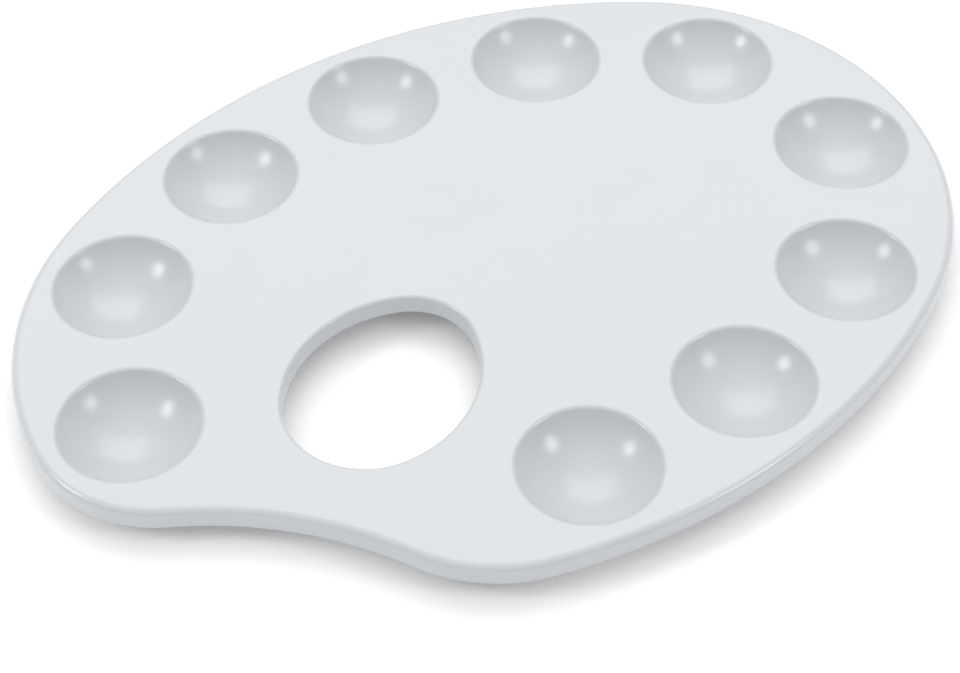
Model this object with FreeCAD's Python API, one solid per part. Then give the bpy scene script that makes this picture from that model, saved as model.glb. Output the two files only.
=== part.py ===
import FreeCAD, Part
import math
import os

# Mixing palette: one thin-walled moulding, in millimetres.
#
# A flat oval deck has a skirt turned down round its edge, ten round dishes sunk into it along
# the edge, and an egg-shaped thumb hole beside a shallow notch in the outline. The palette
# stands on the flattened bottoms of the dishes, so its skirt hangs clear of the table.
#
# Origin: middle of the oval's box, on the table. +X along the length towards the end without
# the notch, +Y across it away from the thumb hole, +Z up.

# ---- Outline: an oval of four arcs with a notch between two lobes ----
PALETTE_LENGTH = 270.0
PALETTE_WIDTH = 200.0
END_ARC_HALF_ANGLE = 58.3   # degrees each side of the long axis that an end arc covers
HEEL_LOBE_RADIUS = 36.6     # lobe at the tip of the notched end
PALM_LOBE_RADIUS = 44.8     # lobe on the near side, past the notch
PALM_LOBE_TURN = 12.7       # degrees from straight across at which the near side enters its lobe
NOTCH_RADIUS = 110.0        # hollow stretch between the lobes

# ---- Shell ----
WALL = 2.0                  # deck, skirt, collar and dishes
SKIRT_DEPTH = 6.0           # deck top to the skirt's lower edge
SKIRT_ROUND = 2.2           # deck top into skirt
SKIRT_ROOT_ROUND = 0.5      # inside of the skirt into the deck's underside
EDGE_EASE = 0.5             # outside of the skirt into its lower edge

# ---- Dishes ----
WELL_RADIUS = 19.0          # where the dish's sphere meets the deck
WELL_DEPTH = 11.0           # deck top to the lowest point inside
WELL_FLOOR = 1.6            # thickness left under that point, where the foot is flattened
WELL_LIP_ROUND = 1.6        # deck top into dish
WELL_ROOT_ROUND = 2.0       # underside of the deck into the outside of the dish
WELL_EDGE = 6.0             # deck between the oval and each dish
WELL_LAND = 10.0            # least deck between neighbouring dishes; as many as fit make the row
FIRST_WELL_TURN = 1.7       # degrees past the notched end's tip, towards the notch
LAST_WELL_TURN = 6.0        # degrees past straight across, towards the notch
PITCH_SWELL = 0.04          # how much wider the dishes stand halfway along their row than at its ends
SPACING_ROUNDS = 30         # passes that share out the straight distances between dishes

# ---- Thumb hole: an egg of four arcs, its blunt end towards the notch ----
HOLE_LENGTH = 60.8
HOLE_BLUNT_RADIUS = 22.5
HOLE_NARROW_RADIUS = 17.8
HOLE_SIDE_EXTRA = 5.0       # side arcs' radius, beyond half the hole's length
HOLE_TURN = 30.5            # degrees from +X to the narrow end
HOLE_ROUND = 1.3            # deck top into the hole
COLLAR_DEPTH = 5.8          # deck top to the collar's lower edge
GRIP_WEB = 19.1             # deck between the notch's edge and the hole
GRIP_LEAN = 0.7             # degrees, about the notch's centre, that the hole stands towards the
                            # first dish from halfway between the row's two ends

# ---- Worked out from the values above ----
HALF_LENGTH = PALETTE_LENGTH / 2
HALF_WIDTH = PALETTE_WIDTH / 2
DECK_TOP = WELL_DEPTH + WELL_FLOOR
DECK_UNDER = DECK_TOP - WALL
SKIRT_FOOT = DECK_TOP - SKIRT_DEPTH
COLLAR_FOOT = DECK_TOP - COLLAR_DEPTH
WELL_MARGIN = WELL_RADIUS + WELL_EDGE               # from the oval to each dish's centre
WELL_SPHERE = (WELL_RADIUS ** 2 + WELL_DEPTH ** 2) / (2 * WELL_DEPTH)
WELL_MIDDLE = DECK_TOP - WELL_DEPTH + WELL_SPHERE   # height of the sphere's centre

# ---- Modelling allowances ----
OVERCUT = 1.0               # how far a cutting shape runs past the face that it opens
OVERLAP = WALL / 2          # how far an added shape reaches into the wall that it joins
SAME_HEIGHT = 1e-6          # two heights closer than this are one


def polar(centre, radius, degrees):
    """Point at a distance and bearing from a centre."""
    angle = math.radians(degrees)
    return (centre[0] + radius * math.cos(angle), centre[1] + radius * math.sin(angle))


def bearing(start, end):
    """Direction in degrees from one point to another."""
    return math.degrees(math.atan2(end[1] - start[1], end[0] - start[0]))


def meeting_point(centre_a, radius_a, centre_b, radius_b, side):
    """Where two circles cross, to the left (side 1) or the right (side -1) of the line a to b."""
    gap = math.dist(centre_a, centre_b)
    along = (gap ** 2 + radius_a ** 2 - radius_b ** 2) / (2 * gap)
    across = math.sqrt(radius_a ** 2 - along ** 2)
    heading = bearing(centre_a, centre_b)
    return polar(polar(centre_a, along, heading), across, heading + side * 90)


# ---- Centres of the oval's arcs ----
HALF_ANGLE = math.radians(END_ARC_HALF_ANGLE)
CENTRE_GAP = (HALF_LENGTH - HALF_WIDTH) / (math.sin(HALF_ANGLE) + math.cos(HALF_ANGLE) - 1)
END_CENTRE = CENTRE_GAP * math.cos(HALF_ANGLE)      # from the origin, along X
SIDE_CENTRE = CENTRE_GAP * math.sin(HALF_ANGLE)     # from the origin, across Y
END_RADIUS = HALF_LENGTH - END_CENTRE
SIDE_RADIUS = HALF_WIDTH + SIDE_CENTRE

# ---- Centres of the notch's three arcs, each tangent to its neighbours ----
HEEL_CENTRE = (HEEL_LOBE_RADIUS - HALF_LENGTH, 0.0)
PALM_CENTRE = polar((0.0, SIDE_CENTRE), SIDE_RADIUS - PALM_LOBE_RADIUS, -90 - PALM_LOBE_TURN)
NOTCH_CENTRE = meeting_point(
    HEEL_CENTRE, HEEL_LOBE_RADIUS + NOTCH_RADIUS,
    PALM_CENTRE, PALM_LOBE_RADIUS + NOTCH_RADIUS, -1)


def arc_edge(centre, radius, start, end, height):
    """Level arc from one bearing to another, through the bearing halfway between them."""
    stations = [polar(centre, radius, turn) for turn in (start, (start + end) / 2, end)]
    return Part.Arc(*[FreeCAD.Vector(x, y, height) for x, y in stations]).toShape()


def outline_face(inset, height):
    """The palette's outline, moved inwards by inset, as a level face."""
    to_palm = -90 - PALM_LOBE_TURN
    palm_to_notch = bearing(PALM_CENTRE, NOTCH_CENTRE)
    heel_to_notch = bearing(HEEL_CENTRE, NOTCH_CENTRE)
    corner = END_ARC_HALF_ANGLE
    arcs = [
        ((END_CENTRE, 0.0), END_RADIUS - inset, -corner, corner),
        ((0.0, -SIDE_CENTRE), SIDE_RADIUS - inset, corner, 180 - corner),
        ((-END_CENTRE, 0.0), END_RADIUS - inset, 180 - corner, 180),
        (HEEL_CENTRE, HEEL_LOBE_RADIUS - inset, 180, 360 + heel_to_notch),
        (NOTCH_CENTRE, NOTCH_RADIUS + inset, heel_to_notch + 180, palm_to_notch + 180),
        (PALM_CENTRE, PALM_LOBE_RADIUS - inset, palm_to_notch, to_palm),
        ((0.0, SIDE_CENTRE), SIDE_RADIUS - inset, to_palm, -corner),
    ]
    return Part.Face(Part.Wire([arc_edge(*arc, height) for arc in arcs]))


def well_path():
    """Arcs that the dishes' centres follow: (centre, radius, start, end), clockwise."""
    corner = END_ARC_HALF_ANGLE
    end_radius = END_RADIUS - WELL_MARGIN
    side_radius = SIDE_RADIUS - WELL_MARGIN
    return [
        ((-END_CENTRE, 0.0), end_radius, 180 + FIRST_WELL_TURN, 180 - corner),
        ((0.0, -SIDE_CENTRE), side_radius, 180 - corner, corner),
        ((END_CENTRE, 0.0), end_radius, corner, -corner),
        ((0.0, SIDE_CENTRE), side_radius, -corner, -90 - LAST_WELL_TURN),
    ]


def grip_bearing():
    """Degrees from +X, from the notch's centre to the hole, between the row's two ends."""
    path = well_path()
    centre, radius, start, _ = path[0]
    first = polar(centre, radius, start)
    centre, radius, _, end = path[-1]
    last = polar(centre, radius, end)
    halfway = ((first[0] + last[0]) / 2, (first[1] + last[1]) / 2)
    return bearing(NOTCH_CENTRE, halfway) + GRIP_LEAN


def hole_face(outset, height):
    """The thumb hole's egg, moved outwards by outset, as a level face."""
    blunt = polar(NOTCH_CENTRE, NOTCH_RADIUS + GRIP_WEB + HOLE_BLUNT_RADIUS, grip_bearing())
    narrow = polar(blunt, HOLE_LENGTH - HOLE_BLUNT_RADIUS - HOLE_NARROW_RADIUS, HOLE_TURN)
    side_radius = HOLE_LENGTH / 2 + HOLE_SIDE_EXTRA
    reach_blunt = side_radius - HOLE_BLUNT_RADIUS
    reach_narrow = side_radius - HOLE_NARROW_RADIUS
    left = meeting_point(blunt, reach_blunt, narrow, reach_narrow, 1)
    right = meeting_point(blunt, reach_blunt, narrow, reach_narrow, -1)
    left_to_blunt = bearing(left, blunt)
    left_to_narrow = bearing(left, narrow)
    right_to_blunt = bearing(right, blunt)
    right_to_narrow = bearing(right, narrow)
    arcs = [
        (narrow, HOLE_NARROW_RADIUS + outset, left_to_narrow, right_to_narrow),
        (right, side_radius + outset, right_to_narrow, right_to_blunt),
        (blunt, HOLE_BLUNT_RADIUS + outset, right_to_blunt, left_to_blunt + 360),
        (left, side_radius + outset, left_to_blunt, left_to_narrow),
    ]
    return Part.Face(Part.Wire([arc_edge(*arc, height) for arc in arcs]))


def along_path(path, distance):
    """Point a given distance along a list of arcs."""
    for centre, radius, start, end in path:
        span = radius * math.radians(start - end)
        if distance <= span or (centre, radius, start, end) == path[-1]:
            return polar(centre, radius, start - math.degrees(distance / radius))
        distance -= span


def well_centres():
    """Dish centres on their path, their straight distances swelling towards the row's middle."""
    path = well_path()
    total = sum(radius * math.radians(start - end) for _, radius, start, end in path)
    gaps = math.floor(total / (2 * WELL_RADIUS + WELL_LAND))
    shares = [1 + PITCH_SWELL * math.sin(math.pi * (gap + 0.5) / gaps) for gap in range(gaps)]
    steps = [total * share / sum(shares) for share in shares]
    for _ in range(SPACING_ROUNDS):
        points = [along_path(path, sum(steps[:count])) for count in range(gaps + 1)]
        chords = [math.dist(*pair) for pair in zip(points, points[1:])]
        steps = [step * share / chord for step, share, chord in zip(steps, shares, chords)]
        stretch = total / sum(steps)
        steps = [step * stretch for step in steps]
    return points


def turned(points, centre):
    """Solid of revolution about an upright axis through a centre.

    Each point is (reach, height). A point given as (reach, height, True) is the middle of an arc
    from the point before it to the point after it.
    """
    outline = []
    start = points[0]
    through = None
    for point in points[1:] + points[:1]:
        corner = FreeCAD.Vector(centre[0] + point[0], centre[1], point[1])
        if len(point) == 3:
            through = corner
            continue
        begin = FreeCAD.Vector(centre[0] + start[0], centre[1], start[1])
        curve = Part.Arc(begin, through, corner) if through else Part.LineSegment(begin, corner)
        outline.append(curve.toShape())
        start = point
        through = None
    axis = FreeCAD.Vector(centre[0], centre[1], 0)
    face = Part.Face(Part.Wire(outline))
    return face.revolve(axis, FreeCAD.Vector(0, 0, 1), 360)


def on_sphere(radius, slope):
    """Point of a sphere round the dishes' middle, where its slope is the angle given."""
    return (radius * math.sin(slope), WELL_MIDDLE - radius * math.cos(slope))


def rounding(radius, round_radius, level):
    """Arc that blends a sphere round the dishes' middle into a level plane.

    Returns its point on the plane, its middle point, its point on the sphere and the slope there.
    """
    rise = WELL_MIDDLE - level + round_radius
    reach = math.sqrt((radius + round_radius) ** 2 - rise ** 2)
    slope = math.asin(reach / (radius + round_radius))
    middle = (
        reach - round_radius * math.sin(slope / 2),
        level - round_radius * (1 - math.cos(slope / 2)),
        True)
    return (reach, level), middle, on_sphere(radius, slope), slope


def dish_cutter(centre):
    """Inside of a dish with its rounded lip, as the shape to cut away."""
    rim, middle, meeting, slope = rounding(WELL_SPHERE, WELL_LIP_ROUND, DECK_TOP)
    return turned([
        (0.0, DECK_TOP - WELL_DEPTH),
        (*on_sphere(WELL_SPHERE, slope / 2), True),
        meeting,
        middle,
        rim,
        (rim[0], DECK_TOP + OVERCUT),
        (0.0, DECK_TOP + OVERCUT),
    ], centre)


def bowl(centre):
    """Outside of a dish with its flat foot and rounded root, as the shape to add."""
    reach = WELL_SPHERE + WALL
    rim, middle, meeting, slope = rounding(reach, WELL_ROOT_ROUND, DECK_UNDER)
    foot = math.acos(WELL_MIDDLE / reach)
    return turned([
        (0.0, 0.0),
        on_sphere(reach, foot),
        (*on_sphere(reach, (foot + slope) / 2), True),
        meeting,
        middle,
        rim,
        (rim[0], DECK_UNDER + OVERLAP),
        (0.0, DECK_UNDER + OVERLAP),
    ], centre)


def arcs_at(shape, height):
    """Level edges of a shape at a height that are parts of circles, not whole ones."""
    arcs = []
    for edge in shape.Edges:
        box = edge.BoundBox
        level = max(abs(box.ZMin - height), abs(box.ZMax - height)) < SAME_HEIGHT
        if level and len(edge.Vertexes) == 2:
            arcs.append(edge)
    return arcs


def rounded_plate(face, thickness, radius):
    """Plate standing on a face, with its upper edge rounded."""
    plate = face.extrude(FreeCAD.Vector(0, 0, thickness))
    top = face.BoundBox.ZMin + thickness
    return plate.makeFillet(radius, arcs_at(plate, top))


def eased_plate(face, thickness, upper, lower):
    """Plate standing on a face, with its upper edge rounded and its lower edge eased."""
    plate = rounded_plate(face, thickness, upper)
    return plate.makeFillet(lower, arcs_at(plate, face.BoundBox.ZMin))


def deck_and_skirt():
    """Flat deck with the skirt turned down round its edge."""
    outside = eased_plate(outline_face(0, SKIRT_FOOT), SKIRT_DEPTH, SKIRT_ROUND, EDGE_EASE)
    room = outline_face(WALL, SKIRT_FOOT - OVERCUT)
    return outside.cut(rounded_plate(room, DECK_UNDER - SKIRT_FOOT + OVERCUT, SKIRT_ROOT_ROUND))


def with_thumb_hole(shell):
    """The shell with the thumb hole cut and its collar turned down."""
    collar = hole_face(WALL, COLLAR_FOOT)
    shell = shell.fuse(collar.extrude(FreeCAD.Vector(0, 0, COLLAR_DEPTH - OVERLAP)))
    opening = hole_face(0, -OVERCUT)
    shell = shell.cut(opening.extrude(FreeCAD.Vector(0, 0, DECK_TOP + 2 * OVERCUT)))
    shell = shell.removeSplitter()
    rim = hole_face(0, DECK_TOP).OuterWire
    lip = []
    for arc in arcs_at(shell, DECK_TOP):
        if rim.distToShape(Part.Vertex(arc.CenterOfMass))[0] < WALL:
            lip.append(arc)
    return shell.makeFillet(HOLE_ROUND, lip)


def with_wells(shell):
    """The shell with a dish sunk at each centre."""
    centres = well_centres()
    shell = shell.fuse([bowl(centre) for centre in centres])
    return shell.cut([dish_cutter(centre) for centre in centres]).removeSplitter()


def palette():
    """The whole moulding as one solid."""
    return with_wells(with_thumb_hole(deck_and_skirt())).Solids[0]


os.makedirs("parts", exist_ok=True)
moulding = palette()
moulding.exportStep("parts/palette.step")
print("palette valid", moulding.isValid(), "volume mm3", round(moulding.Volume, 1))
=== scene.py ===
"""Mixing palette of glossy white polystyrene, lying on a pale table under studio lights.

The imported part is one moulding, so the visual model is one closed skin: a deck with a skirt round
its edge, ten round dishes and an egg-shaped thumb hole. Each curved stretch is a profile carried
along a path, and the flat stretches between them are filled from the same vertices.
"""

import logging
import math
from dataclasses import dataclass, field
from enum import Enum

import bpy
import numpy as np
from mathutils import Matrix, Vector
from mathutils.geometry import delaunay_2d_cdt


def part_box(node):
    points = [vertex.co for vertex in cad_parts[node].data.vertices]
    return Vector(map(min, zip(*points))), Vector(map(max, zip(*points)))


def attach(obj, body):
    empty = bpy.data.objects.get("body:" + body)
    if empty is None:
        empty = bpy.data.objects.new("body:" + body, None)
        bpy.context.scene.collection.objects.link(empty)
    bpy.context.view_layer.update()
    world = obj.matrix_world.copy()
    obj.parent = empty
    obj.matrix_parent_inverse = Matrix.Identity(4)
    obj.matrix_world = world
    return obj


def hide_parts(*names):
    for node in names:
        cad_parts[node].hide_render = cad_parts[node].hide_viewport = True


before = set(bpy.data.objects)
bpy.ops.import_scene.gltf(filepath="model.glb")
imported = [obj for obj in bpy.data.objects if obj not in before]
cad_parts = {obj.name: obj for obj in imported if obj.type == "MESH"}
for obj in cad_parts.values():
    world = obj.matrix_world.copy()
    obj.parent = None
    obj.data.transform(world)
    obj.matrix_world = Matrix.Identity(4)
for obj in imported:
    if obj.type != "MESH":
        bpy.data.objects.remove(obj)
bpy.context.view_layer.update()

NODE = "palette"
BODY = "root"
LOG = logging.getLogger("palette")
Distances = float | list[float] | np.ndarray
Section = tuple[np.ndarray, np.ndarray]
PlanPoint = tuple[float, float]


# ---------------------------------------------------------------- paths and profiles

@dataclass(frozen=True)
class Arc:
    """Stretch of a plan path: part of a circle.

    A bulging arc has its centre on the side that an inset moves towards, so an inset makes its
    radius smaller. A hollow arc has it on the other side, so an inset makes its radius larger.
    """

    centre: PlanPoint
    radius: float
    start: float
    end: float
    hollow: bool = False

    def length(self) -> float:
        """Length along the arc, in metres."""
        return abs(math.radians(self.end - self.start)) * self.radius


@dataclass(frozen=True)
class Path:
    """Closed plan path of tangent arcs, sampled at stations.

    Point at station i, moved inwards by d, is centre_i + direction_i * (radius_i - sign_i * d),
    where sign is 1 on a bulging arc and -1 on a hollow one.
    """

    centre: np.ndarray
    direction: np.ndarray
    radius: np.ndarray
    sign: np.ndarray

    @classmethod
    def along(cls, arcs: list[Arc], spacing: float) -> "Path":
        """Samples tangent arcs about evenly.

        Args:
            arcs: The arcs in order, each ending where the next starts.
            spacing: Greatest distance between stations, in metres.

        Returns:
            The sampled path. Each arc's last station is the next arc's first.
        """
        counts = [max(2, math.ceil(arc.length() / spacing)) for arc in arcs]
        turns = np.concatenate([
            np.linspace(arc.start, arc.end, count, endpoint=False)
            for arc, count in zip(arcs, counts)])
        angles = np.radians(turns)
        return cls(
            centre=np.repeat([arc.centre for arc in arcs], counts, axis=0),
            direction=np.stack([np.cos(angles), np.sin(angles)], axis=1),
            radius=np.repeat([arc.radius for arc in arcs], counts),
            sign=np.repeat([-1.0 if arc.hollow else 1.0 for arc in arcs], counts),
        )

    def points(self, inset: float | np.ndarray) -> np.ndarray:
        """Plan points of every station, moved inwards.

        Args:
            inset: One distance, or one for each profile point, in metres.

        Returns:
            Array of stations by profile points by 2.
        """
        reach = self.radius[:, None] - self.sign[:, None] * np.atleast_1d(inset)[None, :]
        return self.centre[:, None, :] + self.direction[:, None, :] * reach[..., None]


def section(*parts: tuple[Distances, Distances]) -> Section:
    """Joins stretches of a section into one line.

    Args:
        parts: (inset, height) pairs, where either may be one number for the whole stretch.

    Returns:
        The line's insets and heights.
    """
    pairs = [np.broadcast_arrays(np.atleast_1d(inset), np.atleast_1d(height))
             for inset, height in parts]
    insets, heights = (np.concatenate(values).astype(float) for values in zip(*pairs))
    return insets, heights


KEEP_INSIDE_OF_LOOPS = 1    # the fill's kind of output: triangles inside the loops
MERGE_DISTANCE = 1e-9       # points nearer than this, in metres, count as one


@dataclass
class Skin:
    """Vertices and faces of one mesh, gathered stretch by stretch."""

    vertices: list[np.ndarray] = field(default_factory=list)
    faces: list[np.ndarray] = field(default_factory=list)
    count: int = 0

    def add_vertices(self, points: np.ndarray) -> np.ndarray:
        """Appends points.

        Args:
            points: Grid of points, its last axis X, Y and Z.

        Returns:
            The new vertices' numbers, in the points' own grid shape.
        """
        flat = points.reshape(-1, 3)
        numbers = np.arange(self.count, self.count + len(flat))
        self.vertices.append(flat)
        self.count += len(flat)
        return numbers.reshape(points.shape[:-1])

    def sweep(self, path: Path, inset: np.ndarray, height: np.ndarray) -> np.ndarray:
        """Carries a section round a closed path.

        Point (i, j) stands at the path's station i moved inwards by inset j, at height j. Faces
        join station i to i + 1, the last to the first, and section point j to j + 1. They look to
        the left of the section's way when its inset runs to the left and its height runs up.

        Args:
            path: The closed plan path, counter-clockwise.
            inset: The section's distances inwards.
            height: The section's heights.

        Returns:
            Vertex numbers, stations by section points.
        """
        plan = path.points(inset)
        levels = np.broadcast_to(height, plan.shape[:2])
        grid = self.add_vertices(np.concatenate([plan, levels[..., None]], axis=2))
        ahead = np.roll(grid, -1, axis=0)
        quads = np.stack([grid[:, :-1], grid[:, 1:], ahead[:, 1:], ahead[:, :-1]], axis=-1)
        self.faces.append(quads.reshape(-1, 4))
        return grid

    def cap(self, ring: np.ndarray, plan: np.ndarray, height: float, up: bool) -> None:
        """Closes a ring with triangles to one new vertex.

        Args:
            ring: Vertex numbers round the ring, counter-clockwise.
            plan: The pole's place in plan.
            height: The pole's height.
            up: Whether the faces look up.
        """
        pole = self.add_vertices(np.array([[*plan, height]]))[0]
        after = np.roll(ring, -1)
        sides = (ring, after) if up else (after, ring)
        self.faces.append(np.stack([*sides, np.full_like(ring, pole)], axis=-1))

    def fill(self, outer: np.ndarray, holes: list[np.ndarray], up: bool) -> None:
        """Fills the flat stretch between an outer loop and its holes.

        The triangles are the constrained Delaunay ones of all the loops' vertices, less those whose
        middles lie in a hole or outside the outer loop. They are turned to look one way.

        Args:
            outer: Vertex numbers round the outer loop.
            holes: Vertex numbers round each hole.
            up: Whether the faces look up.
        """
        loops = [outer, *holes]
        numbers = np.concatenate(loops)
        points = np.concatenate(self.vertices)[numbers, :2]
        starts = np.cumsum([0] + [len(loop) for loop in loops[:-1]])
        edges = np.concatenate([
            np.stack([np.arange(len(loop)), (np.arange(len(loop)) + 1) % len(loop)], axis=1) + start
            for loop, start in zip(loops, starts)])
        _, _, corners, sources, _, _ = delaunay_2d_cdt(
            points.tolist(), edges.tolist(), [], KEEP_INSIDE_OF_LOOPS, MERGE_DISTANCE)
        origin = np.array([source[0] for source in sources])
        triangles = origin[np.array(corners)]
        middles = points[triangles].mean(axis=1)
        clear = np.ones(len(triangles), bool)
        for start, hole in zip(starts[1:], holes):
            clear &= ~inside_loop(middles, points[start:start + len(hole)])
        triangles = triangles[clear & inside_loop(middles, points[:len(outer)])]
        corner = points[triangles]
        first, second = corner[:, 1] - corner[:, 0], corner[:, 2] - corner[:, 0]
        left_turn = first[:, 0] * second[:, 1] - first[:, 1] * second[:, 0] > 0
        triangles = np.where((left_turn == up)[:, None], triangles, triangles[:, ::-1])
        self.faces.append(numbers[triangles])

    def to_mesh(self, name: str) -> bpy.types.Mesh:
        """Makes a smooth-shaded mesh of everything gathered.

        Args:
            name: The mesh's name.

        Returns:
            The new mesh.
        """
        mesh = bpy.data.meshes.new(name)
        faces = [face for block in self.faces for face in block.tolist()]
        mesh.from_pydata(np.concatenate(self.vertices).tolist(), [], faces)
        mesh.polygons.foreach_set("use_smooth", np.ones(len(mesh.polygons), bool))
        mesh.update()
        return mesh


def inside_loop(points: np.ndarray, loop: np.ndarray) -> np.ndarray:
    """Tests which points lie inside a closed loop by counting the edges that a ray crosses.

    Args:
        points: Points, n by 2.
        loop: The loop's corners, m by 2.

    Returns:
        One bool for each point.
    """
    after = np.roll(loop, -1, axis=0)
    x, y = points[:, 0][:, None], points[:, 1][:, None]
    spans = (loop[:, 1] > y) != (after[:, 1] > y)
    rise = np.where(after[:, 1] == loop[:, 1], 1.0, after[:, 1] - loop[:, 1])
    crossing = loop[:, 0] + (y - loop[:, 1]) * (after[:, 0] - loop[:, 0]) / rise
    return (np.sum(spans & (x < crossing), axis=1) % 2).astype(bool)


def polar(centre: PlanPoint, radius: float, degrees: float) -> PlanPoint:
    """Point at a distance and bearing from a centre."""
    angle = math.radians(degrees)
    return (centre[0] + radius * math.cos(angle), centre[1] + radius * math.sin(angle))


def bearing(start: PlanPoint, end: PlanPoint) -> float:
    """Direction in degrees from one point to another."""
    return math.degrees(math.atan2(end[1] - start[1], end[0] - start[0]))


def meeting_point(
        centre_a: PlanPoint, radius_a: float,
        centre_b: PlanPoint, radius_b: float, side: int) -> PlanPoint:
    """Finds where two circles cross.

    The crossing lies (gap^2 + radius_a^2 - radius_b^2) / (2 * gap) along the line from a to b, and
    to its side by what is left of radius_a.

    Args:
        centre_a: First circle's centre.
        radius_a: First circle's radius.
        centre_b: Second circle's centre.
        radius_b: Second circle's radius.
        side: 1 for the crossing to the left of the line a to b, -1 for the right.

    Returns:
        The crossing point.
    """
    gap = math.dist(centre_a, centre_b)
    along = (gap ** 2 + radius_a ** 2 - radius_b ** 2) / (2 * gap)
    across = math.sqrt(radius_a ** 2 - along ** 2)
    heading = bearing(centre_a, centre_b)
    return polar(polar(centre_a, along, heading), across, heading + side * 90)


# ---------------------------------------------------------------- the palette's shape

@dataclass(frozen=True)
class Oval:
    """Four-arc oval with a notch between two lobes: the palette's outline, in metres."""

    length: float
    width: float
    end_arc_half_angle: float = 58.3
    heel_lobe_radius: float = 0.0366
    palm_lobe_radius: float = 0.0448
    palm_lobe_turn: float = 12.7
    notch_radius: float = 0.110

    @property
    def centre_gap(self) -> float:
        """Distance between the centre of an end arc and the centre of a side arc.

        Both arcs' tops are on the box, so (length - width) / 2 is the gap times sine plus cosine
        less 1 of the end arc's half angle.
        """
        half = math.radians(self.end_arc_half_angle)
        return (self.length - self.width) / 2 / (math.sin(half) + math.cos(half) - 1)

    @property
    def end_centre(self) -> float:
        """How far an end arc's centre lies from the origin, along X."""
        return self.centre_gap * math.cos(math.radians(self.end_arc_half_angle))

    @property
    def side_centre(self) -> float:
        """How far a side arc's centre lies from the origin, across Y."""
        return self.centre_gap * math.sin(math.radians(self.end_arc_half_angle))

    @property
    def end_radius(self) -> float:
        """Radius of the two end arcs."""
        return self.length / 2 - self.end_centre

    @property
    def side_radius(self) -> float:
        """Radius of the two side arcs."""
        return self.width / 2 + self.side_centre

    @property
    def heel_centre(self) -> PlanPoint:
        """Centre of the lobe at the notched end's tip."""
        return (self.heel_lobe_radius - self.length / 2, 0.0)

    @property
    def palm_centre(self) -> PlanPoint:
        """Centre of the lobe on the near side."""
        return polar(
            (0.0, self.side_centre), self.side_radius - self.palm_lobe_radius,
            -90 - self.palm_lobe_turn)

    @property
    def notch_centre(self) -> PlanPoint:
        """Centre of the hollow arc, tangent to both lobes."""
        return meeting_point(
            self.heel_centre, self.heel_lobe_radius + self.notch_radius,
            self.palm_centre, self.palm_lobe_radius + self.notch_radius, -1)

    def arcs(self) -> list[Arc]:
        """Joins the oval's arcs to the lobes and the notch between them.

        Returns:
            The outline's seven arcs, counter-clockwise from the plain end.
        """
        corner = self.end_arc_half_angle
        to_palm = 270 - self.palm_lobe_turn
        palm_to_notch = bearing(self.palm_centre, self.notch_centre) + 360
        heel_to_notch = bearing(self.heel_centre, self.notch_centre) + 360
        return [
            Arc((self.end_centre, 0.0), self.end_radius, -corner, corner),
            Arc((0.0, -self.side_centre), self.side_radius, corner, 180 - corner),
            Arc((-self.end_centre, 0.0), self.end_radius, 180 - corner, 180),
            Arc(self.heel_centre, self.heel_lobe_radius, 180, heel_to_notch),
            Arc(self.notch_centre, self.notch_radius,
                heel_to_notch - 180, palm_to_notch - 180, hollow=True),
            Arc(self.palm_centre, self.palm_lobe_radius, palm_to_notch, to_palm),
            Arc((0.0, self.side_centre), self.side_radius, to_palm, 360 - corner),
        ]


@dataclass(frozen=True)
class ThumbHole:
    """Egg of four arcs beside the notch, in metres, its blunt end towards the notch.

    The web is the deck between the notch and the blunt end, at the web's bearing from the notch's
    centre.
    """

    length: float = 0.0608
    blunt_radius: float = 0.0225
    narrow_radius: float = 0.0178
    side_extra: float = 0.005
    turn: float = 30.5
    lip_round: float = 0.0013
    collar_depth: float = 0.0058
    web: float = 0.0191
    web_bearing: float = 44.29

    def arcs(self, oval: Oval) -> list[Arc]:
        """Places the egg beside the notch.

        Args:
            oval: The palette's outline, whose notch the hole stands off from.

        Returns:
            The egg's four arcs, counter-clockwise from the narrow end's right.
        """
        reach = oval.notch_radius + self.web + self.blunt_radius
        blunt = polar(oval.notch_centre, reach, self.web_bearing)
        narrow = polar(blunt, self.length - self.blunt_radius - self.narrow_radius, self.turn)
        side = self.length / 2 + self.side_extra
        circles = (blunt, side - self.blunt_radius, narrow, side - self.narrow_radius)
        left = meeting_point(*circles, 1)
        right = meeting_point(*circles, -1)
        from_left = (bearing(left, blunt), bearing(left, narrow))
        from_right = (bearing(right, blunt), bearing(right, narrow))
        return [
            Arc(narrow, self.narrow_radius, from_left[1], from_right[1]),
            Arc(right, side, from_right[1], from_right[0]),
            Arc(blunt, self.blunt_radius, from_right[0], from_left[0] + 360),
            Arc(left, side, from_left[0] + 360, from_left[1] + 360),
        ]


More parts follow.
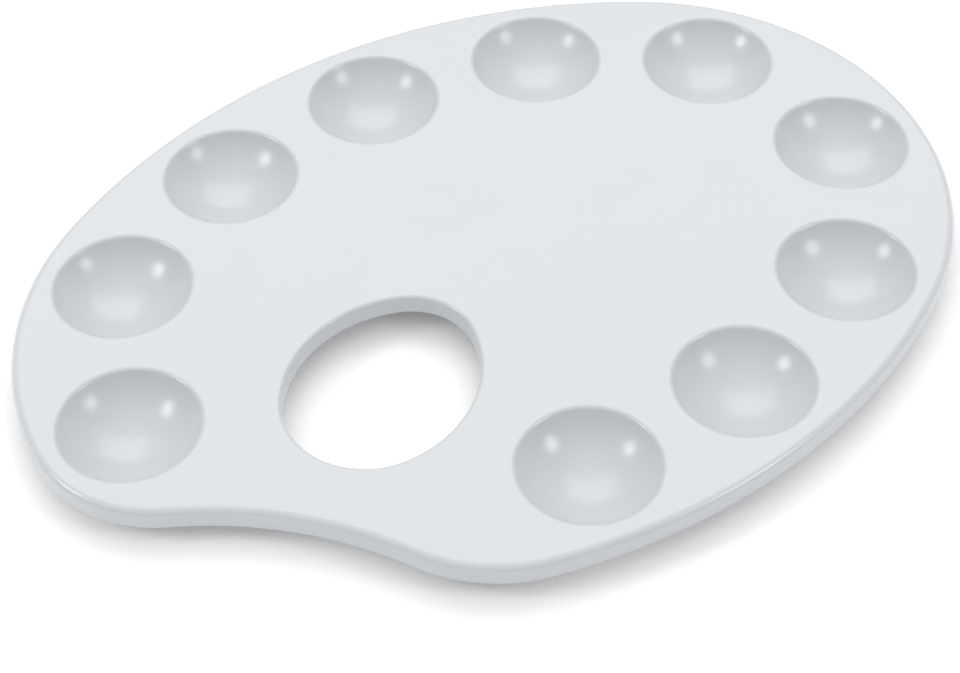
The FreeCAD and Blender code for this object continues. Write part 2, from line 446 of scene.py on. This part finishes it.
@dataclass(frozen=True)
class DishRow:
    """Ten spherical dishes along the palette's edge, in metres."""

    count: int = 10
    radius: float = 0.019
    depth: float = 0.011
    lip_round: float = 0.0016
    root_round: float = 0.002
    margin: float = 0.025
    first_turn: float = 1.7
    last_turn: float = 6.0
    pitch_swell: float = 0.04
    spacing_rounds: int = 30

    @property
    def sphere(self) -> float:
        """Radius of the sphere that the dish is part of."""
        return (self.radius ** 2 + self.depth ** 2) / (2 * self.depth)

    def centres(self, oval: Oval) -> np.ndarray:
        """Spreads the dishes along the oval moved inwards by the margin.

        The straight distance between neighbours is in proportion to 1 + swell * sin(pi * t), where
        t runs from 0 to 1 along the row. The arc lengths between them are corrected by the ratio
        of wanted to found distance until both agree.

        Args:
            oval: The palette's outline.

        Returns:
            The centres, count by 2.
        """
        corner = oval.end_arc_half_angle
        arcs = [
            Arc((-oval.end_centre, 0.0), oval.end_radius - self.margin,
                180 + self.first_turn, 180 - corner),
            Arc((0.0, -oval.side_centre), oval.side_radius - self.margin, 180 - corner, corner),
            Arc((oval.end_centre, 0.0), oval.end_radius - self.margin, corner, -corner),
            Arc((0.0, oval.side_centre), oval.side_radius - self.margin,
                -corner, -90 - self.last_turn),
        ]
        ends = np.cumsum([0.0] + [arc.length() for arc in arcs])
        gaps = self.count - 1
        shares = 1 + self.pitch_swell * np.sin(math.pi * (np.arange(gaps) + 0.5) / gaps)
        steps = shares / shares.sum() * ends[-1]
        for _ in range(self.spacing_rounds):
            distance = np.concatenate([[0.0], np.cumsum(steps)])
            which = np.clip(np.searchsorted(ends, distance, side="right") - 1, 0, len(arcs) - 1)
            radius = np.array([arc.radius for arc in arcs])[which]
            start = np.radians([arc.start for arc in arcs])[which]
            angle = start - (distance - ends[which]) / radius
            centre = np.array([arc.centre for arc in arcs])[which]
            points = centre + radius[:, None] * np.stack([np.cos(angle), np.sin(angle)], axis=1)
            found = np.linalg.norm(np.diff(points, axis=0), axis=1)
            steps = steps * shares / found
            steps *= ends[-1] / steps.sum()
        return points


@dataclass(frozen=True)
class Detail:
    """How finely the skin is divided.

    The guard is a flat ring beside each rounding, which keeps the flat deck's shading flat. The
    pole's share is where the last ring before a dish's lowest point lies, as a share of the way.
    """

    outline_spacing: float = 0.0018
    hole_spacing: float = 0.0012
    dish_segments: int = 128
    bowl_segments: int = 72
    round_steps: int = 8
    dish_steps: int = 26
    bowl_steps: int = 14
    guard: float = 0.0003
    pole_share: float = 0.02
    foot_shares: tuple[float, float] = (0.95, 0.5)


@dataclass
class PaletteMoulding:
    """The whole palette as one closed skin.

    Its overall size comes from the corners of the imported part's box, about the origin.
    """

    low: Vector
    high: Vector
    wall: float = 0.002
    skirt_depth: float = 0.006
    skirt_round: float = 0.0022
    edge_ease: float = 0.0005
    root_round: float = 0.0005
    hole: ThumbHole = field(default_factory=ThumbHole)
    dishes: DishRow = field(default_factory=DishRow)
    detail: Detail = field(default_factory=Detail)
    oval: Oval = field(init=False)
    top: float = field(init=False)
    under: float = field(init=False)
    skin: Skin = field(init=False)

    def __post_init__(self) -> None:
        """Works out the outline and the heights of the deck's top and underside."""
        self.oval = Oval(
            2 * min(self.high.x, -self.low.x), 2 * min(self.high.y, -self.low.y))
        self.top = self.high.z
        self.under = self.top - self.wall
        self.skin = Skin()

    def build(self) -> bpy.types.Object:
        """Makes the skin's stretches, fills the flats between them and links the object.

        Returns:
            The palette's object.
        """
        outer_top, outer_under = self.edge()
        hole_top, hole_under = self.collar()
        centres = self.dishes.centres(self.oval)
        dish_rings = [self.dish(centre) for centre in centres]
        bowl_rings = [self.bowl(centre) for centre in centres]
        self.skin.fill(outer_top, [hole_top, *dish_rings], up=True)
        self.skin.fill(outer_under, [hole_under, *bowl_rings], up=False)
        moulding = bpy.data.objects.new("palette_moulding", self.skin.to_mesh("palette_moulding"))
        bpy.context.scene.collection.objects.link(moulding)
        return moulding

    def wall_section(self, upper_round: float, depth: float) -> Section:
        """Section of a wall turned down from the deck, from the deck's top to its underside.

        Each corner is a quarter circle: as it turns from 0 to 90 degrees, its line runs its radius
        times 1 - sine one way and its radius times 1 - cosine the other.

        Args:
            upper_round: Radius between the deck's top and the wall.
            depth: From the deck's top to the wall's lower edge.

        Returns:
            Distances into the moulding from the wall's face, and heights.
        """
        turn = np.linspace(0, math.pi / 2, self.detail.round_steps + 1)
        into, over = 1 - np.sin(turn), 1 - np.cos(turn)
        foot = self.top - depth
        ease, root = self.edge_ease, self.root_round
        return section(
            (upper_round + self.detail.guard, self.top),
            (upper_round * into, self.top - upper_round * over),
            (ease * over, foot + ease * into),
            (self.wall - ease * into, foot + ease * over),
            (self.wall + root * over, self.under - root * into),
            (self.wall + root + self.detail.guard, self.under),
        )

    def edge(self) -> tuple[np.ndarray, np.ndarray]:
        """Skirt: from the deck's top, round and down the outside, then up the inside.

        Returns:
            The flat loops that the deck's top and underside are filled from.
        """
        path = Path.along(self.oval.arcs(), self.detail.outline_spacing)
        grid = self.skin.sweep(path, *self.wall_section(self.skirt_round, self.skirt_depth))
        return grid[:, 0], grid[:, -1]

    def collar(self) -> tuple[np.ndarray, np.ndarray]:
        """Thumb hole's collar: the wall's section turned to face the hole.

        Returns:
            The flat loops that the deck's top and underside are filled from.
        """
        path = Path.along(self.hole.arcs(self.oval), self.detail.hole_spacing)
        into, height = self.wall_section(self.hole.lip_round, self.hole.collar_depth)
        grid = self.skin.sweep(path, -into[::-1], height[::-1])
        return grid[:, -1], grid[:, 0]

    def dish(self, centre: np.ndarray) -> np.ndarray:
        """Inside of one dish: a sphere from its lowest point out to a rounded lip.

        The lip is an arc of radius q between the deck and the sphere of radius R, whose centre is
        h above the deck. The arc's centre is sqrt((R + q)^2 - (h + q)^2) from the dish's axis, and
        the two meet where the sphere's slope has the sine of that distance over R + q.

        Args:
            centre: The dish's place in plan.

        Returns:
            The flat loop round the lip.
        """
        sphere, lip = self.dishes.sphere, self.dishes.lip_round
        rise = sphere - self.dishes.depth
        reach = math.sqrt((sphere + lip) ** 2 - (rise + lip) ** 2)
        meet = math.asin(reach / (sphere + lip))
        climb = meet * np.linspace(self.detail.pole_share, 1, self.detail.dish_steps)[:-1]
        turn = meet * np.linspace(1, 0, self.detail.round_steps + 1)
        rim = reach + self.detail.guard
        inset, height = section(
            (rim - sphere * np.sin(climb), self.top + rise - sphere * np.cos(climb)),
            (rim - reach + lip * np.sin(turn), self.top - lip * (1 - np.cos(turn))),
            (0.0, self.top),
        )
        grid = self.skin.sweep(circle(centre, rim, self.detail.dish_segments), inset, height)
        self.skin.cap(grid[:, 0], centre, self.top - self.dishes.depth, up=True)
        return grid[:, -1]

    def bowl(self, centre: np.ndarray) -> np.ndarray:
        """Outside of one dish: from the deck's underside through its root to the flat foot.

        The root is worked out as the lip is, between the underside and the sphere that is one
        wall larger. The foot is that sphere cut off where the palette stands.

        Args:
            centre: The dish's place in plan.

        Returns:
            The flat loop round the root.
        """
        sphere, root = self.dishes.sphere + self.wall, self.dishes.root_round
        middle = self.top - self.dishes.depth + self.dishes.sphere
        rise = middle - self.under
        reach = math.sqrt((sphere + root) ** 2 - (rise + root) ** 2)
        meet = math.asin(reach / (sphere + root))
        foot = math.acos((middle - self.low.z) / sphere)
        foot_radius = sphere * math.sin(foot)
        turn = meet * np.linspace(0, 1, self.detail.round_steps + 1)
        fall = np.linspace(meet, foot, self.detail.bowl_steps)[1:]
        rim = reach + self.detail.guard
        inset, height = section(
            (0.0, self.under),
            (rim - reach + root * np.sin(turn), self.under - root * (1 - np.cos(turn))),
            (rim - sphere * np.sin(fall), middle - sphere * np.cos(fall)),
            (rim - foot_radius * np.array(self.detail.foot_shares), self.low.z),
        )
        grid = self.skin.sweep(circle(centre, rim, self.detail.bowl_segments), inset, height)
        self.skin.cap(grid[:, -1], centre, self.low.z, up=False)
        return grid[:, 0]


SPACING_SLACK = 1.0005    # keeps rounding from adding a segment to a circle


def circle(centre: np.ndarray, radius: float, segments: int) -> Path:
    """Circular path, counter-clockwise, divided into a number of segments."""
    spacing = SPACING_SLACK * 2 * math.pi * radius / segments
    return Path.along([Arc(tuple(centre), radius, 0, 360)], spacing)


# ---------------------------------------------------------------- finishes

def linear(code: str) -> tuple[float, float, float, float]:
    """Turns an sRGB hex colour into linear values with alpha.

    Args:
        code: Six hex digits, with or without a leading hash.

    Returns:
        Red, green, blue and alpha.
    """
    parts = [int(code.lstrip("#")[i:i + 2], 16) / 255 for i in (0, 2, 4)]
    return (*[p / 12.92 if p <= 0.04045 else ((p + 0.055) / 1.055) ** 2.4 for p in parts], 1.0)


def add_node(
        tree: bpy.types.NodeTree, kind: str, values: dict[str | int, object] | None = None,
        links: dict[str | int, bpy.types.NodeSocket] | None = None,
        **settings: object) -> bpy.types.Node:
    """Adds one node with its settings, socket values and incoming links.

    Args:
        tree: The node tree.
        kind: The node's type name.
        values: Input socket name or number to its value.
        links: Input socket name or number to the output socket that feeds it.
        settings: Properties of the node itself.

    Returns:
        The new node.
    """
    node = tree.nodes.new(kind)
    for name, value in settings.items():
        setattr(node, name, value)
    for key, value in (values or {}).items():
        node.inputs[key].default_value = value
    for key, source in (links or {}).items():
        tree.links.new(source, node.inputs[key])
    return node


MM = 0.001


def per_metre(wavelength_mm: float) -> float:
    """Noise scale whose features are about a wavelength across, in millimetres."""
    return 1 / (wavelength_mm * MM)


@dataclass(frozen=True)
class MouldedPolystyrene:
    """High-impact polystyrene, injection moulded in a polished tool.

    The eye gets a cool white body under a soft gloss, with reflections that waver a little where
    the deck has sunk as it cooled, a fine orange peel, a film of handling that dulls the gloss in
    patches, and a few dark specks caught in the plastic.
    """

    name: str = "moulded_white_polystyrene"
    body: str = "#C6C8CB"
    cloud: str = "#C3C7CB"
    speck: str = "#77736E"
    ior: float = 1.59
    gloss_low: float = 0.20
    gloss_high: float = 0.265
    cloud_mm: float = 55.0
    film_mm: float = 22.0
    peel_mm: float = 2.6
    peel_height_mm: float = 0.0016
    sink_mm: float = 48.0
    sink_height_mm: float = 0.045
    speck_cell_mm: float = 17.0
    speck_radius_mm: float = 0.22
    speck_core: float = 0.6
    speck_strength: float = 0.8

    def material(self) -> bpy.types.Material:
        """Builds the node tree on Object coordinates, in metres.

        Returns:
            The palette's material.
        """
        material = bpy.data.materials.new(self.name)
        material.use_nodes = True
        tree = material.node_tree
        tree.nodes.clear()
        place = add_node(tree, "ShaderNodeTexCoord").outputs["Object"]
        shader = add_node(
            tree, "ShaderNodeBsdfPrincipled", {"IOR": self.ior, "Metallic": 0.0},
            {"Base Color": self.colour(tree, place), "Roughness": self.film(tree, place),
             "Normal": self.relief(tree, place)})
        add_node(tree, "ShaderNodeOutputMaterial", links={"Surface": shader.outputs["BSDF"]})
        return material

    def colour(self, tree: bpy.types.NodeTree, place: bpy.types.NodeSocket) -> bpy.types.NodeSocket:
        """Body colour that clouds very slightly, with sparse specks.

        Args:
            tree: The material's node tree.
            place: The coordinates that the patterns follow.

        Returns:
            The colour.
        """
        cloud = add_node(
            tree, "ShaderNodeTexNoise",
            {"Scale": per_metre(self.cloud_mm), "Detail": 3.0, "Roughness": 0.55},
            {"Vector": place})
        body = add_node(
            tree, "ShaderNodeMix", {6: linear(self.body), 7: linear(self.cloud)},
            {0: cloud.outputs["Fac"]}, data_type="RGBA")
        cells = add_node(
            tree, "ShaderNodeTexVoronoi", {"Scale": per_metre(self.speck_cell_mm)},
            {"Vector": place})
        reach = self.speck_radius_mm / self.speck_cell_mm
        speck = add_node(
            tree, "ShaderNodeMapRange",
            {"From Min": reach * self.speck_core, "From Max": reach,
             "To Min": self.speck_strength, "To Max": 0.0},
            {"Value": cells.outputs["Distance"]})
        return add_node(
            tree, "ShaderNodeMix", {7: linear(self.speck)},
            {0: speck.outputs["Result"], 6: body.outputs[2]}, data_type="RGBA").outputs[2]

    def film(self, tree: bpy.types.NodeTree, place: bpy.types.NodeSocket) -> bpy.types.NodeSocket:
        """Roughness: polished, duller where it has been handled.

        The whole range stays below 0.27. The renderer's denoiser takes rougher gloss for matt, and
        a range across that line leaves faint curly marks.

        Args:
            tree: The material's node tree.
            place: The coordinates that the pattern follows.

        Returns:
            The roughness.
        """
        patches = add_node(
            tree, "ShaderNodeTexNoise",
            {"Scale": per_metre(self.film_mm), "Detail": 5.0, "Roughness": 0.6, "Distortion": 0.4},
            {"Vector": place})
        return add_node(
            tree, "ShaderNodeMapRange",
            {"From Min": 0.35, "From Max": 0.75, "To Min": self.gloss_low,
             "To Max": self.gloss_high},
            {"Value": patches.outputs["Fac"]}).outputs["Result"]

    def relief(self, tree: bpy.types.NodeTree, place: bpy.types.NodeSocket) -> bpy.types.NodeSocket:
        """Normal: long sink waves under a fine orange peel.

        Args:
            tree: The material's node tree.
            place: The coordinates that the waves follow.

        Returns:
            The normal.
        """
        normal = None
        for wavelength, height, octaves in (
                (self.sink_mm, self.sink_height_mm, 1.0), (self.peel_mm, self.peel_height_mm, 2.0)):
            waves = add_node(
                tree, "ShaderNodeTexNoise", {"Scale": per_metre(wavelength), "Detail": octaves},
                {"Vector": place})
            links = {"Height": waves.outputs["Fac"]}
            if normal is not None:
                links["Normal"] = normal
            normal = add_node(
                tree, "ShaderNodeBump", {"Strength": 1.0, "Distance": height * MM}, links,
            ).outputs["Normal"]
        return normal


@dataclass(frozen=True)
class TableAcrylic:
    """Matt white acrylic sheet with a weak lamp under it, which keeps the shadows on it pale."""

    name: str = "underlit_white_acrylic"
    light: str = "#FCFCFC"
    dark: str = "#F9F9F9"
    mottle_mm: float = 6.0
    roughness: float = 0.9
    glow: float = 0.08

    def material(self) -> bpy.types.Material:
        """Builds the node tree on Object coordinates, in metres.

        Returns:
            The table's material.
        """
        material = bpy.data.materials.new(self.name)
        material.use_nodes = True
        tree = material.node_tree
        tree.nodes.clear()
        place = add_node(tree, "ShaderNodeTexCoord").outputs["Object"]
        mottle = add_node(
            tree, "ShaderNodeTexNoise", {"Scale": per_metre(self.mottle_mm), "Detail": 2.0},
            {"Vector": place})
        tone = add_node(
            tree, "ShaderNodeMix", {6: linear(self.light), 7: linear(self.dark)},
            {0: mottle.outputs["Fac"]}, data_type="RGBA")
        shader = add_node(
            tree, "ShaderNodeBsdfPrincipled",
            {"Roughness": self.roughness, "Specular IOR Level": 0.0,
             "Emission Color": linear(self.light), "Emission Strength": self.glow},
            {"Base Color": tone.outputs[2]})
        add_node(tree, "ShaderNodeOutputMaterial", links={"Surface": shader.outputs["BSDF"]})
        return material


# ---------------------------------------------------------------- studio

class Emitter(Enum):
    """Shape of a lamp's glowing face."""

    PANEL = "RECTANGLE"
    ROUND = "DISK"


@dataclass(frozen=True)
class Lamp:
    """One studio lamp, placed by how far it stands to the right of, beyond and above the palette."""

    name: str
    emitter: Emitter
    right: float
    beyond: float
    above: float
    width: float
    depth: float
    radiance: float

    def build(self, studio: "Studio") -> None:
        """Makes the lamp and turns its face.

        A panel hangs level over the table. A round lamp looks at the palette. The power is radiance
        times pi times the face's area.

        Args:
            studio: The studio, which knows the way that the camera looks.
        """
        area = self.width * self.depth * (math.pi / 4 if self.emitter is Emitter.ROUND else 1)
        data = bpy.data.lights.new(self.name, "AREA")
        data.shape = self.emitter.value
        data.size = self.width
        data.size_y = self.depth
        data.energy = self.radiance * math.pi * area
        place = studio.aim + studio.right * self.right + studio.ahead * self.beyond
        place.z += self.above
        lamp = bpy.data.objects.new(self.name, data)
        if self.emitter is Emitter.PANEL:
            axes = Matrix((studio.right, studio.ahead, Vector((0, 0, 1)))).transposed()
            lamp.matrix_world = Matrix.Translation(place) @ axes.to_4x4()
        else:
            turn = (studio.aim - place).to_track_quat("-Z", "Y").to_matrix().to_4x4()
            lamp.matrix_world = Matrix.Translation(place) @ turn
        bpy.context.scene.collection.objects.link(lamp)


@dataclass
class Studio:
    """Table, lamps, surroundings and camera.

    Azimuth, elevation and roll are the camera's, in degrees. Its distance and the shift of the
    point that it looks at are in metres, and its lens in millimetres.
    """

    high: Vector
    azimuth: float = -29.3
    elevation: float = 47.85
    roll: float = -1.46
    distance: float = 0.5833
    lens: float = 82.63
    nearest: float = 0.01
    aim_shift: PlanPoint = (-0.0177, -0.0225)
    table_size: float = 8.0
    sky: str = "#FFFFFF"
    sky_even: float = 0.52
    sky_overhead: float = 0.65
    sky_ahead: float = 0.4
    lamps: tuple[Lamp, ...] = (
        Lamp("overhead_softbox", Emitter.PANEL, 0.0, 0.865, 1.0, 1.25, 1.13, 1.3),
        Lamp("right_lamp", Emitter.ROUND, 0.956, -0.397, 0.684, 0.40, 0.40, 5.2),
        Lamp("left_lamp", Emitter.ROUND, -1.083, -0.211, 0.762, 0.40, 0.40, 7.4),
    )
    right: Vector = field(init=False)
    ahead: Vector = field(init=False)
    aim: Vector = field(init=False)

    def __post_init__(self) -> None:
        """Works out the camera's level directions."""
        turn = math.radians(self.azimuth)
        self.right = Vector((math.cos(turn), math.sin(turn), 0.0))
        self.ahead = Vector((-math.sin(turn), math.cos(turn), 0.0))
        self.aim = Vector((*self.aim_shift, self.high.z))

    def build(self) -> None:
        """Makes everything round the palette."""
        self.camera()
        self.table()
        self.surroundings()
        for lamp in self.lamps:
            lamp.build(self)

    def camera(self) -> None:
        """Camera that looks down at the aim point, rolled a little."""
        tilt = math.radians(self.elevation)
        back = Vector((0, 0, 1)) * math.sin(tilt) - self.ahead * math.cos(tilt)
        up = back.cross(self.right)
        axes = Matrix((self.right, up, back)).transposed().to_4x4()
        data = bpy.data.cameras.new("studio_camera")
        data.lens = self.lens
        data.clip_start = self.nearest
        camera = bpy.data.objects.new("studio_camera", data)
        camera.matrix_world = (
            Matrix.Translation(self.aim + back * self.distance) @ axes
            @ Matrix.Rotation(math.radians(self.roll), 4, "Z"))
        bpy.context.scene.collection.objects.link(camera)
        bpy.context.scene.camera = camera

    def table(self) -> None:
        """Flat acrylic table top that the palette stands on."""
        half = self.table_size / 2
        mesh = bpy.data.meshes.new("table_top")
        mesh.from_pydata(
            [(-half, -half, 0), (half, -half, 0), (half, half, 0), (-half, half, 0)],
            [], [(0, 1, 2, 3)])
        top = bpy.data.objects.new("table_top", mesh)
        top.data.materials.append(TableAcrylic().material())
        bpy.context.scene.collection.objects.link(top)

    def surroundings(self) -> None:
        """Pale light from all round, and colours shown as they are worked out.

        In a direction whose height is z and whose part along the camera's level way is a, the
        light's strength is even + overhead * z^3 + ahead * a, with z and a not below 0.
        """
        world = bpy.data.worlds.new("studio_walls")
        world.use_nodes = True
        tree = world.node_tree
        way = add_node(tree, "ShaderNodeTexCoord").outputs["Generated"]
        overhead = self.glow_towards(tree, way, Vector((0, 0, 1)), 3.0)
        ahead = self.glow_towards(tree, way, self.ahead, 1.0)
        upper = add_node(
            tree, "ShaderNodeMath", {1: self.sky_overhead, 2: self.sky_even}, {0: overhead},
            operation="MULTIPLY_ADD")
        strength = add_node(
            tree, "ShaderNodeMath", {1: self.sky_ahead}, {0: ahead, 2: upper.outputs[0]},
            operation="MULTIPLY_ADD")
        background = tree.nodes["Background"]
        background.inputs["Color"].default_value = linear(self.sky)
        tree.links.new(strength.outputs[0], background.inputs["Strength"])
        bpy.context.scene.world = world
        bpy.context.scene.view_settings.view_transform = "Standard"

    def glow_towards(
            self, tree: bpy.types.NodeTree, way: bpy.types.NodeSocket, axis: Vector,
            power: float) -> bpy.types.NodeSocket:
        """Share of the light from one side: the direction's part along an axis, to a power.

        Args:
            tree: The world's node tree.
            way: The direction looked in.
            axis: The axis, of length 1.
            power: How closely the light gathers round the axis.

        Returns:
            The share, from 0 across the axis to 1 along it.
        """
        along = add_node(
            tree, "ShaderNodeVectorMath", {1: axis}, {0: way}, operation="DOT_PRODUCT")
        kept = add_node(
            tree, "ShaderNodeMath", {1: 0.0}, {0: along.outputs["Value"]}, operation="MAXIMUM")
        return add_node(
            tree, "ShaderNodeMath", {1: power}, {0: kept.outputs[0]}, operation="POWER").outputs[0]


def main() -> None:
    """Builds the studio and the palette, and dresses the palette."""
    logging.basicConfig(level=logging.INFO, format="%(name)s %(message)s")
    low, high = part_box(NODE)
    studio = Studio(high)
    studio.build()
    for lamp in studio.lamps:
        LOG.info("%s: radiance %.1f", lamp.name, lamp.radiance)
    moulding = PaletteMoulding(low, high).build()
    moulding.data.materials.append(MouldedPolystyrene().material())
    LOG.info("%s: %d faces", moulding.name, len(moulding.data.polygons))
    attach(moulding, BODY)
    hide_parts(NODE)


if __name__ == "__main__":
    main()
